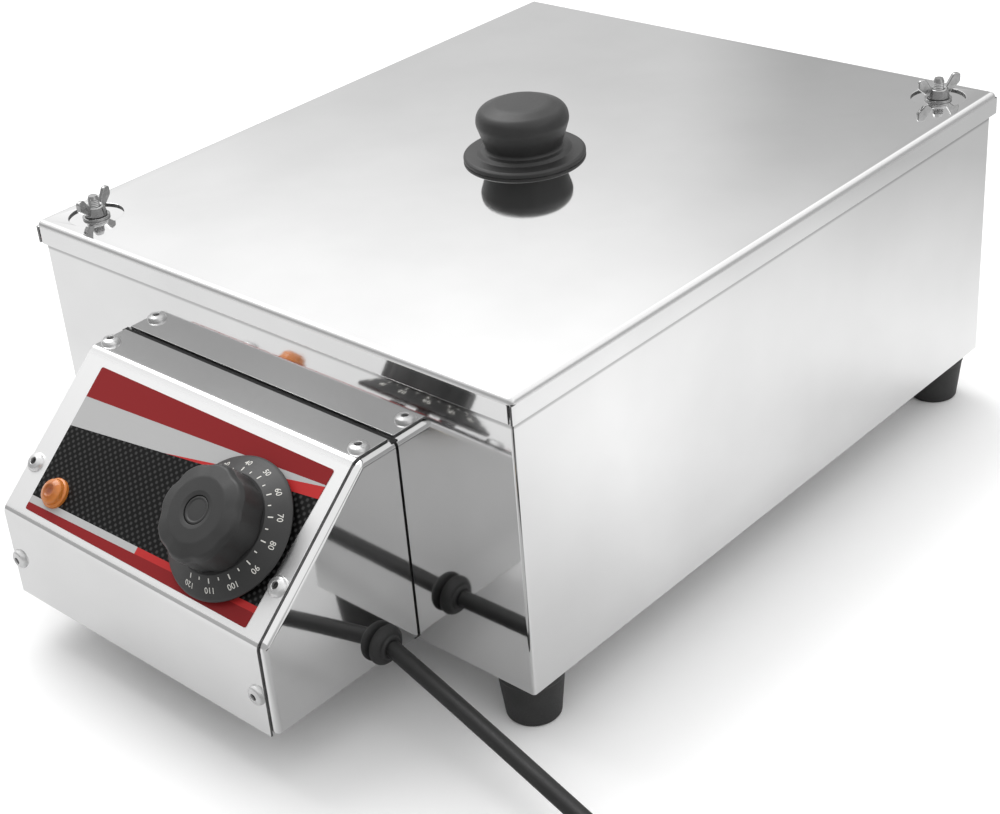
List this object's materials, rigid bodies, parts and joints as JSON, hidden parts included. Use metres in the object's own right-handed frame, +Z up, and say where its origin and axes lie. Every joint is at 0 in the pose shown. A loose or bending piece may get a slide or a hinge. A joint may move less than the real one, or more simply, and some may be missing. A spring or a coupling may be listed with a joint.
{
  "type": "chocolate melting tank",
  "caption": "Steel water-bath tank on rubber feet with a hung pan, a loose lid with a knob, wing nuts at two corners, and a sloped control box with thermostat dial, lamp and cord.",
  "frame": {"origin": "on the worktop, under the middle of the tank and its control box together, cord left out", "axes": "+Z up, the control box faces -Y, +X is to the right of someone who faces the control box"},
  "size_m": [0.4796, 0.5025, 0.178],
  "materials": {
    "polished_steel": "polished",
    "zinc_steel": "bright zinc",
    "black_moulding": "satin",
    "black_rubber": "matte",
    "cord_sheath": "matte",
    "cord_tie": "matte",
    "label_print": "printed film",
    "amber_lens": "clear amber",
    "white_plastic": "satin",
    "thermostat_case": "plain",
    "brass": "machined",
    "copper": "drawn",
    "element_sheath": "drawn",
    "red_seal": "matte",
    "brown_wire": "insulation",
    "blue_wire": "insulation",
    "green_wire": "insulation",
    "grey_wire": "insulation"
  },
  "bodies": {
    "tank": {"casing_wrap": "polished_steel", "casing_floor": "polished_steel", "inner_pan": "polished_steel", "control_box_body": "polished_steel", "control_cover": "polished_steel", "cover_rivets": "polished_steel", "bulb_bracket": "polished_steel", "element_bracket": "polished_steel", "rim_studs": "zinc_steel", "foot_studs": "zinc_steel", "foot_nuts": "zinc_steel", "box_studs": "zinc_steel", "box_nuts": "zinc_steel", "thermostat_screws": "zinc_steel", "pilot_lamp_clip": "zinc_steel", "earth_screw": "zinc_steel", "plug_body": "black_moulding", "foot_front_left": "black_rubber", "foot_front_right": "black_rubber", "foot_rear_left": "black_rubber", "foot_rear_right": "black_rubber", "box_seal": "black_rubber", "cord_grommet": "black_rubber", "cord_tail": "cord_sheath", "power_cord": "cord_sheath", "power_cord_coil": "cord_sheath", "cord_tie": "cord_tie", "control_label": "label_print", "pilot_lamp_lens": "amber_lens", "pilot_lamp_body": "white_plastic", "terminal_block": "white_plastic", "heater_terminals": "white_plastic", "thermostat_body": "thermostat_case", "sensor_gland": "brass", "heater_bushings": "brass", "heater_nuts": "brass", "terminal_screws": "brass", "plug_pins": "brass", "capillary_tube": "copper", "sensor_bulb": "copper", "heating_element": "element_sheath", "heater_seals": "red_seal", "live_wires": "brown_wire", "neutral_wires": "blue_wire", "earth_wire": "green_wire", "cord_cores": "grey_wire"},
    "lid": {"lid": "polished_steel", "lid_knob": "black_moulding", "lid_knob_washer": "zinc_steel", "lid_knob_screw": "zinc_steel"},
    "dial": {"dial_skirt": "black_moulding", "dial_grip": "black_moulding", "dial_cap": "black_moulding", "thermostat_shaft": "zinc_steel"},
    "front_washer": {"front_washer": "zinc_steel"},
    "front_nut": {"wing_nut_front": "zinc_steel"},
    "rear_washer": {"rear_washer": "zinc_steel"},
    "rear_nut": {"wing_nut_rear": "zinc_steel"}
  },
  "joints": [
    {"name": "lid_lift", "type": "slide", "parent": "tank", "child": "lid", "axis": [0, 0, 1], "range_m": [0, 0.15]},
    {"name": "dial_turn", "type": "hinge", "parent": "tank", "child": "dial", "pos_m": [0.0356, -0.17669, 0.08702], "axis": [0, -0.6561, 0.7547], "range_deg": [0, 265]},
    {"name": "front_nut_rise", "type": "slide", "parent": "tank", "child": "front_washer", "axis": [0, 0, 1], "range_m": [0, 0.00885]},
    {"name": "front_nut_turn", "type": "hinge", "parent": "front_washer", "child": "front_nut", "pos_m": [-0.118, -0.1085, 0.153], "axis": [0, 0, 1], "range_deg": [0, 3960]},
    {"name": "rear_nut_rise", "type": "slide", "parent": "tank", "child": "rear_washer", "axis": [0, 0, 1], "range_m": [0, 0.00885]},
    {"name": "rear_nut_turn", "type": "hinge", "parent": "rear_washer", "child": "rear_nut", "pos_m": [0.118, 0.1855, 0.153], "axis": [0, 0, 1], "range_deg": [0, 3960]}
  ],
  "couplings": [
    {"joint": "front_nut_rise", "follows": "front_nut_turn", "m_per_rad": 0.00012732},
    {"joint": "rear_nut_rise", "follows": "rear_nut_turn", "m_per_rad": 0.00012732}
  ]
}
